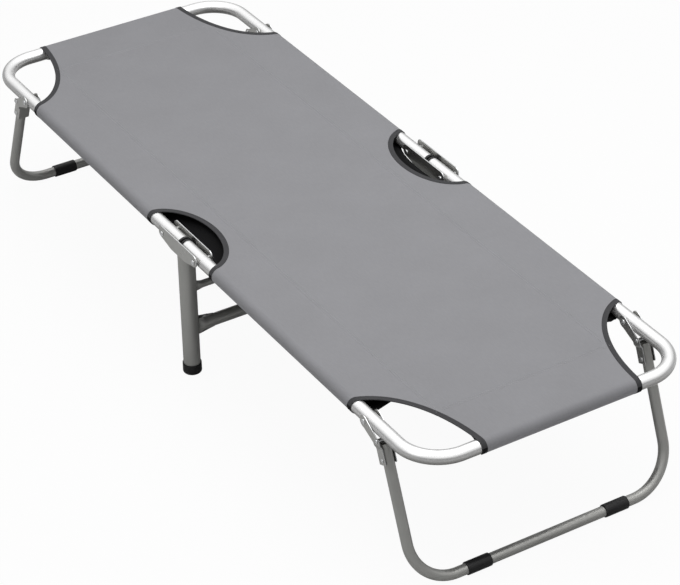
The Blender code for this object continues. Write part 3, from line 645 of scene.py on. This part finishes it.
cloth = {
    "inner": 0.0153,
    "outer": 0.0165,
    "seamX": 0.200,
    "seamY": 0.800,
    "sideEndY": 0.820,
    "endHalfX": 0.210,
    "grid": 0.010,  # spacing of the lines that let it sag
    "fineGrid": 0.008,  # spacing where it bends over the hinge
    "fineTo": 0.160,
    "sleeveSteps": 34,
    "bareMiddle": 0.150,  # no binding lies nearer to the middle line
    "underTurn": -0.9,  # a face turned down more than this, inside the seams, is the coated back
    "smooth": 40,
}
drape = {
    "sag": 0.0030,
    "round": 0.8,  # how flat-bottomed the sag is across
    "endRise": (0.550, 0.9115),  # where the sag dies away towards the end rail
    "free": 0.25,
    "ripple": (9, 5, 0.3, 0.0009),  # noise scales across and along, its layer, and its height
    "pucker": (12, 60, 4.2, 0.0006),
    "puckerReach": 0.016,
}
cutting = {"past": 0.010, "beyond": 0.020, "tall": 0.030, "hemSteps": 8}  # cutters' reach past the cloth
cornerCut = {
    "centre": (0.3437, 0.9570),
    "reachX": 0.155,
    "reachY": 0.270,
    "steps": 56,
    "lowerX": 0.175,  # the underside's straight hems
    "lowerY": 0.712,
    "ease": 0.012,  # where the hem turns to the rail, clear of the folded leg's bracket
    "underTop": 0.0015,  # the underside is cut up to this far below the top layer
}
hingeCut = {"centre": (0.3295, 0.0), "topX": 0.0835, "underX": 0.0465, "halfY": 0.130, "steps": 56}
tape = {
    "width": 0.011,
    "over": 0.00045,
    "under": 0.00025,
    "lip": 0.0006,
    "shadeRise": 0.004,  # painted shade: the tape's faces are painted black up to here above the rails' axes
    "shadeTurn": -0.5,  # and on faces turned down more than this
}
stitch = {
    "length": 0.0038,
    "pitch": 0.0050,
    "radius": 0.0004,
    "rowGap": 0.0060,
    "fromSeam": 0.0015,
    "fromEndSeam": 0.0030,
    "fromTapeEdge": 0.0022,
    "start": 0.001,  # of a side row, from the hinge line
    "past": 0.012,  # a row's run past the end seam or a rail's axis
    "inset": 0.004,  # of an end row from the side seams
    "lift": 0.25,  # of its axis over the cloth, as a share of the radius
    "round": ((0.0, 0.0), (0.35, 0.75), (1.0, 1.0)),  # a thread's end, as shares of its radius
}


def spacedStations(start, end, step):
    count = max(1, round((end - start) / step))
    return [start + (end - start) * i / count for i in range(count + 1)]


def tangentAngle(point, centre, radius):
    dx, dz = point[0] - centre[0], point[1] - centre[1]
    return math.degrees(math.atan2(dz, dx) + math.acos(radius / math.hypot(dx, dz))) % 360


def sleeveCurve(tube, seam, radius):
    # from the top of the tube round its far side and back to the seam from below
    last = tangentAngle(seam, tube, radius) - 360
    points = arcPoints(tube, radius, 90, last, cloth["sleeveSteps"])
    start = Vector(points[-1])
    run = Vector(seam) - start
    count = max(2, round(run.length / cloth["grid"]))
    return points + [tuple(start + run * i / count) for i in range(1, count)]


def sweepOutline(points, direction, stations):
    # a closed outline carried along X, Y or Z as one closed solid
    bm = bmesh.new()
    axis = "XYZ".index(direction)
    verts = [bm.verts.new((*point[:axis], stations[0], *point[axis:])) for point in points]
    step = Vector([float(i == axis) for i in range(3)])
    edges = [bm.edges.new(pair) for pair in zip(verts, verts[1:] + verts[:1])]
    bm.faces.new(verts)
    for here, there in zip(stations, stations[1:]):
        edges = pushRing(bm, edges, step * (there - here))
    bmesh.ops.contextual_create(bm, geom=edges)
    bmesh.ops.recalc_face_normals(bm, faces=bm.faces)
    return bm


def combine(base, others, operation):
    # applies each Boolean and leaves plain meshes behind
    for other in others:
        step = base.modifiers.new("step", "BOOLEAN")
        step.operation = operation
        step.object = other
        step.solver = "EXACT"
        step.material_mode = "TRANSFER"
    graph = bpy.context.evaluated_depsgraph_get()
    graph.update()
    result = bpy.data.meshes.new_from_object(base.evaluated_get(graph))
    old = base.data
    base.modifiers.clear()
    base.data = result
    bpy.data.meshes.remove(old)
    for other in others:
        mesh = other.data
        bpy.data.objects.remove(other)
        bpy.data.meshes.remove(mesh)
    return base


def makeCoverShell(name, outer, inner, materials):
    # the cloth before its cut-outs, between two distances from the rails' axes
    sideX, endY, axisZ = cot["sideX"], cot["endY"], cot["axisZ"]
    seamX, seamY, sideEndY = cloth["seamX"], cloth["seamY"], cloth["sideEndY"]
    grid, half, past = cloth["grid"], cloth["endHalfX"], cutting["past"]
    wall = outer - inner
    acrossSide = sleeveCurve((sideX, 0), (seamX - wall, inner), outer)
    flat = [(x, outer) for x in spacedStations(-sideX, sideX, grid)][1:-1]
    back = [(x, inner) for x in spacedStations(-seamX + wall, seamX - wall, grid)]
    outline = acrossSide + list(reversed(back)) + [(-x, z) for x, z in reversed(acrossSide)] + flat
    ySteps = spacedStations(0, cloth["fineTo"], cloth["fineGrid"])
    ySteps += spacedStations(cloth["fineTo"], seamY, grid)[1:] + [sideEndY]
    body = newObject(name, sweepOutline(outline, "Y", ySteps), materials[:1])

    start = seamY - wall
    flatY = [start, seamY, sideEndY] + spacedStations(sideEndY, endY, grid)[1:-1]
    outlineEnd = sleeveCurve((endY, 0), (start, inner), outer) + [(start, inner)]
    outlineEnd += [(y, outer) for y in flatY]
    xSteps = [-half] + [x for x in spacedStations(-sideX, sideX, grid) if abs(x) < half] + [half]
    endPart = newObject(name + "_end", sweepOutline(outlineEnd, "X", xSteps), materials[:1])
    combine(body, [endPart], "UNION")

    sideSeam, endSeam = (seamX + wall, inner), (seamY + wall, inner)
    insideSide = [sideSeam] + sleeveCurve((sideX, 0), sideSeam, inner)
    insideEnd = [endSeam] + sleeveCurve((endY, 0), endSeam, inner)
    longY = [-past] + ySteps[:-1] + [sideEndY + past]
    solids = [
        sweepOutline(insideSide, "Y", longY),
        sweepOutline([(-x, z) for x, z in insideSide], "Y", longY),
        sweepOutline(insideEnd, "X", [-half - past] + xSteps + [half + past]),
    ]
    combine(body, [newObject("hollow", bm, materials[1:2]) for bm in solids], "DIFFERENCE")
    for vert in body.data.vertices:
        vert.co.z += axisZ
    return body


def ellipsePoints(centre, reachX, reachY, start, end, steps):
    unit = arcPoints((0, 0), 1.0, start, end, steps)
    return [(centre[0] - reachX * x, centre[1] - reachY * y) for x, y in unit]


def cutOutlines(grow):
    # plan outlines of the openings on the +X side, grown by a distance, each with its z range:
    # the corner's top, its underside, the flap inside that, and the hinge's top and underside
    centre, beyond, steps = cornerCut["centre"], cutting["beyond"], cutting["hemSteps"]
    curve = ellipsePoints(
        centre, cornerCut["reachX"] + grow, cornerCut["reachY"] + grow, 0, 90, cornerCut["steps"]
    )
    farX, farY, nearX, nearY = centre[0] + beyond, centre[1] + beyond, curve[0][0], curve[-1][1]
    corner = curve + [(farX, nearY), (farX, farY), (nearX, farY)]
    axis, high, low = cot["axisZ"], cot["axisZ"] + cutting["tall"], cot["axisZ"] - cutting["tall"]
    sideOut, sideIn = cot["sideX"] + cloth["outer"], cot["sideX"] - cloth["outer"]
    endOut, endIn = cot["endY"] + cloth["outer"], cot["endY"] - cloth["outer"]
    flatX, flatY = cornerCut["lowerX"] - grow, cornerCut["lowerY"] - grow
    ease = cornerCut["ease"]
    flaps = [(sideIn, flatY - ease / 2), (sideIn - ease, flatY), (flatX, flatY), (flatX, endIn)]
    rise = flatY - ease / 2 - nearY
    easeSide, easeEnd = [], []
    for i in range(steps + 1):
        part = smoothStep(i, 0, steps)
        easeSide.append((sideOut + (sideIn - sideOut) * i / steps, nearY + rise * part))
        easeEnd.append((flatX + (nearX - flatX) * part, endIn + (endOut - endIn) * i / steps))
    wrap = easeSide[:-1] + flaps + easeEnd[1:] + [(nearX, farY), (farX, farY), (farX, nearY)]
    flapTop = axis + cloth["inner"] - cornerCut["underTop"]
    made = [(corner, axis, high), (wrap, low, axis)]
    made.append((flaps + [(sideIn, endIn)], axis - cutting["past"], flapTop))
    middle = axis + cloth["inner"] / 2
    centre = hingeCut["centre"]
    for reach, bottom, ceiling in ((hingeCut["topX"], middle, high), (hingeCut["underX"], low, middle)):
        curve = ellipsePoints(centre, reach + grow, hingeCut["halfY"] + grow, 90, -90, hingeCut["steps"])
        curve += [(centre[0] + beyond, curve[-1][1]), (centre[0] + beyond, curve[0][1])]
        made.append((curve, bottom, ceiling))
    return made


def outlineSolid(name, points, low, high, material, side):
    return newObject(name, sweepOutline([(side * x, y) for x, y in points], "Z", [low, high]), [material])


def unevenness(kind, x, y):
    scaleX, scaleY, layer, height = drape[kind]
    return noise.noise(Vector((x * scaleX, y * scaleY, layer))) * height


def sagAt(x, y):
    # how far the stretched cloth lies under the rails' tops: nothing on a rail, most in the middle
    across = max(0.0, 1 - (x / cot["sideX"]) ** 2) ** drape["round"]
    lengthwise = 1 - smoothStep(abs(y), *drape["endRise"])
    dip = drape["sag"] * across * lengthwise
    free = smoothStep(across, 0.0, drape["free"]) * lengthwise
    nearSeam = math.exp(-(((abs(x) - cloth["seamX"]) / drape["puckerReach"]) ** 2))
    pucker = unevenness("pucker", x, y) * nearSeam * lengthwise
    return -dip + unevenness("ripple", x, y) * free + pucker


def settle(mesh, here):
    for vert in mesh.vertices:
        vert.co.z += sagAt(here * vert.co.x, here * vert.co.y)


def aroundTube(out, lift, axis):
    # distance along the cloth to a point that is out from the middle, where it wraps a tube at axis
    angle = math.atan2(out - axis, lift) if out > axis or lift > 0 else math.pi
    back = axis - out if lift < 0 and out < axis else 0.0
    return axis + (cloth["inner"] + cloth["outer"]) / 2 * angle + back


def flatCutUv(mesh):
    # metres along the sheet as it was cut: round the sleeves the distance follows the cloth
    layer = mesh.uv_layers.new(name="flatCut")
    sideX, endY, axisZ = cot["sideX"], cot["endY"], cot["axisZ"]
    for face in mesh.polygons:
        under = face.center.z < axisZ
        inSide = abs(face.center.x) > cloth["seamX"]
        inEnd = not inSide and abs(face.center.y) > cloth["seamY"]
        for loop in face.loop_indices:
            co = mesh.vertices[mesh.loops[loop].vertex_index].co
            u, v, lift = abs(co.x), abs(co.y), co.z - axisZ
            if inSide and (under or u > sideX):
                u = aroundTube(u, lift, sideX)
            elif inEnd and (under or v > endY):
                v = aroundTube(v, lift, endY)
            layer.data[loop].uv = (math.copysign(u, co.x), v)


def cleanMesh(mesh, bareMiddle=0.0):
    # welds and fills what the Booleans leave open, without faces nearer the middle line than bareMiddle
    bm = bmesh.new()
    bm.from_mesh(mesh)
    stray = [face for face in bm.faces if abs(face.calc_center_median().x) < bareMiddle]
    bmesh.ops.delete(bm, geom=stray, context="FACES")
    bmesh.ops.remove_doubles(bm, verts=bm.verts, dist=1e-5)
    bmesh.ops.dissolve_degenerate(bm, dist=1e-6, edges=bm.edges)
    bmesh.ops.holes_fill(bm, edges=[edge for edge in bm.edges if edge.is_boundary], sides=0)
    bmesh.ops.triangulate(bm, faces=[face for face in bm.faces if len(face.verts) > 4])
    bm.to_mesh(mesh)
    bm.free()


def makeStitchMesh():
    # one thread end to end: a thin capsule of six sides, lying along local X
    radius, half = stitch["radius"], stitch["length"] / 2
    points = [(-half + radius * back, radius * share) for back, share in stitch["round"]]
    points += [(-a, r) for a, r in reversed(points)]
    bm = turnProfile(points, 6, along["X"])
    mesh = bpy.data.meshes.new("oneStitch")
    bm.to_mesh(mesh)
    bm.free()
    return mesh


def topOfCloth(x, y):
    # height of the cloth's upper face above the rails' axis, flat between the rails and round over them
    lift = cloth["outer"]
    for past in (abs(x) - cot["sideX"], abs(y) - cot["endY"]):
        if past > 0:
            lift = math.sqrt(max(cloth["outer"] ** 2 - past**2, 0))
    return cot["axisZ"] + lift


def stitchRow(curve, lift):
    # places for stitches along a plan curve, each with its direction and its height over the cloth
    places = []
    spare = stitch["pitch"] / 2
    for (ax, ay), (bx, by) in zip(curve, curve[1:]):
        run = Vector((bx - ax, by - ay))
        length = run.length
        run.normalize()
        while spare <= length:
            places.append((ax + run.x * spare, ay + run.y * spare, math.atan2(run.y, run.x), lift))
            spare += stitch["pitch"]
        spare -= length
    return places


def seamPlaces():
    # two rows beside each seam, and one round each opening near its tape's edge
    rows = []
    past, inset = stitch["past"], stitch["inset"]
    outlines = cutOutlines(tape["width"] - stitch["fromTapeEdge"])
    openings = (outlines[0][0][: cornerCut["steps"] + 1], outlines[3][0][: hingeCut["steps"] + 1])
    for side in (-1, 1):
        for offset in (0.0, stitch["rowGap"]):
            x = side * (cloth["seamX"] + stitch["fromSeam"] + offset)
            rows += stitchRow([(x, stitch["start"]), (x, cloth["seamY"] + past)], 0)
        for curve in openings:
            onCloth = [
                (side * x, y)
                for x, y in curve
                if abs(x) < cot["sideX"] + past and 0 <= y < cot["endY"] + past
            ]
            rows += stitchRow(onCloth, tape["over"])
    for offset in (0.0, stitch["rowGap"]):
        y = cloth["seamY"] + stitch["fromEndSeam"] + offset
        rows += stitchRow([(-cloth["seamX"] + inset, y), (cloth["seamX"] - inset, y)], 0)
    return rows


def makeStitches(name, turn, here):
    def settledTop(x, y):
        return topOfCloth(x, y) + sagAt(here * x, here * y)

    bm = bmesh.new()
    single = makeStitchMesh()
    for x, y, angle, lift in seamPlaces():
        z = settledTop(x, y) + lift + stitch["radius"] * stitch["lift"]
        ahead = Vector((math.cos(angle), math.sin(angle))) * stitch["length"] / 2
        climb = settledTop(x + ahead.x, y + ahead.y) - settledTop(x - ahead.x, y - ahead.y)
        tilt = Matrix.Rotation(-math.atan2(climb, stitch["length"]), 4, "Y")
        place = Matrix.Translation((x, y, z)) @ Matrix.Rotation(angle, 4, "Z") @ tilt
        known, knownFaces = len(bm.verts), len(bm.faces)
        bm.from_mesh(single)
        bm.verts.ensure_lookup_table()
        bm.faces.ensure_lookup_table()
        bmesh.ops.transform(bm, matrix=place, verts=bm.verts[known:])
        for face in bm.faces[knownFaces:]:
            face.material_index = 1 if lift else 0  # dark on the tape
    bpy.data.meshes.remove(single)
    bmesh.ops.transform(bm, matrix=turn, verts=bm.verts)
    made = newObject(name, bm, ["thread", "darkThread"])
    smoothMesh(made.data, 60)
    return made


def makeCover(name):
    cover = makeCoverShell(name, cloth["outer"], cloth["inner"], ["cloth", "coating"])
    cuts = [outlineSolid("cut", *cut, "cloth", side) for side in (-1, 1) for cut in cutOutlines(0.0)]
    combine(cover, cuts, "DIFFERENCE")
    cleanMesh(cover.data)
    return cover


def makeBinding(name):
    # the tape is folded over the edge of every opening: a thicker cover, kept only in a band round each
    shell = makeCoverShell(name, cloth["outer"] + tape["over"], cloth["inner"] - tape["under"], ["tape"] * 2)
    wide, narrow = cutOutlines(tape["width"]), cutOutlines(-tape["lip"])
    bands = []
    for side in (-1, 1):
        for (outer, low, high), (inner, _, _) in zip(wide, narrow):
            band = outlineSolid("band", outer, low, high, "tape", side)
            core = outlineSolid("core", inner, low - cutting["past"], high + cutting["past"], "tape", side)
            bands.append(combine(band, [core], "DIFFERENCE"))
    for other in bands[1:]:
        combine(bands[0], [other], "UNION")
    combine(shell, [bands[0]], "INTERSECT")
    # none where the underside is cut back further than the top
    combine(shell, [outlineSolid("bare", *narrow[2], "tape", side) for side in (-1, 1)], "DIFFERENCE")
    cleanMesh(shell.data, cloth["bareMiddle"])
    return shell


for end, turn in ends.items():
    here = 1 if end == "head" else -1
    cover = makeCover(f"{end}_cover")
    shell = makeBinding(f"{end}_binding")
    for piece in (cover, shell):
        settle(piece.data, here)
        flatCutUv(piece.data)
        piece.data.transform(turn)
        piece.data.update()
        smoothMesh(piece.data, cloth["smooth"])
    # the tape's faces low on the rails or turned down get the black copy: painted shade on one tape, not a
    # second tape colour
    shell.data.materials.append(finish["tapeShade"])
    for face in shell.data.polygons:
        if face.center.z < cot["axisZ"] + tape["shadeRise"] or face.normal.z < tape["shadeTurn"]:
            face.material_index = len(shell.data.materials) - 1
    for face in cover.data.polygons:
        inside = abs(face.center.x) < cloth["seamX"] and abs(face.center.y) < cloth["seamY"]
        if inside and face.normal.z < cloth["underTurn"]:
            face.material_index = 1
    stitches = makeStitches(f"{end}_stitching", turn, here)
    for piece in (cover, shell, stitches):
        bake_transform(piece)
    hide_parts(f"{end}_cloth")
    print(end, "cloth:", len(cover.data.polygons), "faces")

# floor, lights and camera

setting = {
    "floorSize": 14.0,
    "white": 0.95,  # how much of the ground's brightness to the eye is plain white
    "ambient": 0.26,
    "glossRise": (0.10, 0.60),  # heights of a reflection's direction that change the room it shows
    "gloss": (0.30, 1.30),  # how bright that room is below and above them
}


def seenDirectly(tree):
    # 1 for what the eye sees, 0 for light and reflections
    path = addNode(tree, "ShaderNodeLightPath", {})
    rays = {0: path.outputs["Is Camera Ray"], 1: path.outputs["Is Transmission Ray"]}
    return addNode(tree, "ShaderNodeMath", {"operation": "MAXIMUM"}, rays).outputs[0]


def makeStage():
    # seamless white paper: matt, white to the eye, and it keeps a faint shadow of what stands on it
    material, tree, shader = newMaterial("whitePaper", {"Roughness": 0.95, "Specular IOR Level": 0.0})
    tone = addNoise(tree, ownPlace(tree), 3.0)
    tree.links.new(blendColours(tree, tone, "#e4e4e4", "#e8e8e8"), shader.inputs["Base Color"])
    glow = addNode(tree, "ShaderNodeEmission", {"Color": linear("#ffffff"), "Strength": 1.0})
    settings = {"operation": "MULTIPLY", 1: setting["white"]}
    share = addNode(tree, "ShaderNodeMath", settings, {0: seenDirectly(tree)}).outputs[0]
    both = addNode(tree, "ShaderNodeMixShader", {}, {0: share, 1: shader.outputs[0], 2: glow.outputs[0]})
    output = next(node for node in tree.nodes if node.type == "OUTPUT_MATERIAL")
    tree.links.new(both.outputs[0], output.inputs["Surface"])
    finish["paper"] = material
    bm = bmesh.new()
    bmesh.ops.create_grid(bm, x_segments=2, y_segments=2, size=setting["floorSize"] / 2)
    floor = newObject("floor", bm, ["paper"])


lamps = {
    "overhead": {"size": (3.6, 3.6), "power": 92.0, "place": Vector((0.2, -0.2, 3.2))},
    "leftSoftbox": {"size": (1.6, 2.4), "power": 6.0, "place": Vector((-3.2, -1.2, 1.9))},
}
lampTarget = Vector((0, 0, 0.3))


def addLamp(name, lamp):
    light = bpy.data.lights.new(name, "AREA")
    light.shape = "RECTANGLE"
    light.size, light.size_y = lamp["size"]
    light.energy = lamp["power"]
    made = bpy.data.objects.new(name, light)
    bpy.context.scene.collection.objects.link(made)
    made.location = lamp["place"]
    made.rotation_euler = (lampTarget - lamp["place"]).to_track_quat("-Z", "Y").to_euler()


def makeWorld():
    # white to the eye, dim as light, and graded from dark to bright where metal reflects it
    world = bpy.data.worlds.new("studio")
    bpy.context.scene.world = world
    world.use_nodes = True
    tree = world.node_tree
    tree.nodes.clear()
    plain = {"Color": linear("#ffffff")}
    ambient = addNode(tree, "ShaderNodeBackground", {**plain, "Strength": setting["ambient"]})
    direction = addNode(tree, "ShaderNodeTexCoord", {}).outputs["Generated"]
    height = addNode(tree, "ShaderNodeSeparateXYZ", {}, {0: direction}).outputs[2]
    strength = mapRange(tree, height, *setting["glossRise"], *setting["gloss"])
    gloss = addNode(tree, "ShaderNodeBackground", plain, {"Strength": strength})
    white = addNode(tree, "ShaderNodeBackground", {**plain, "Strength": 1.0})
    shiny = addNode(tree, "ShaderNodeLightPath", {}).outputs["Is Glossy Ray"]
    room = addNode(tree, "ShaderNodeMixShader", {}, {0: shiny, 1: ambient.outputs[0], 2: gloss.outputs[0]})
    rays = {0: seenDirectly(tree), 1: room.outputs[0], 2: white.outputs[0]}
    mix = addNode(tree, "ShaderNodeMixShader", {}, rays)
    addNode(tree, "ShaderNodeOutputWorld", {}, {"Surface": mix.outputs[0]})


makeStage()
for name, lamp in lamps.items():
    addLamp(name, lamp)
makeWorld()

view = {
    "place": (-2.5003, -4.2376, 3.3845),
    "yaw": math.radians(-31.7494),
    "pitch": math.radians(-35.1366),
    "roll": math.radians(-0.6456),
    "lens": 140.39,
    "sensor": 36,
    "shift": (-0.02992, 0.0910),
    "farClip": 50,
}


def addCamera():
    yaw, pitch, roll = view["yaw"], view["pitch"], view["roll"]
    forward = Vector((-math.sin(yaw) * math.cos(pitch), math.cos(yaw) * math.cos(pitch), math.sin(pitch)))
    right = forward.cross(Vector((0, 0, 1))).normalized()
    up = right.cross(forward)
    rolledRight = right * math.cos(roll) + up * math.sin(roll)
    rolledUp = up * math.cos(roll) - right * math.sin(roll)
    data = bpy.data.cameras.new("photoView")
    data.lens = view["lens"]
    data.sensor_width = view["sensor"]
    data.shift_x, data.shift_y = view["shift"]
    data.clip_end = view["farClip"]
    camera = bpy.data.objects.new("photoView", data)
    bpy.context.scene.collection.objects.link(camera)
    aim = Matrix((rolledRight, rolledUp, -forward)).transposed().to_4x4()
    camera.matrix_world = Matrix.Translation(view["place"]) @ aim
    bpy.context.scene.camera = camera


addCamera()
bpy.context.scene.view_settings.view_transform = "Standard"

print("scene ready")
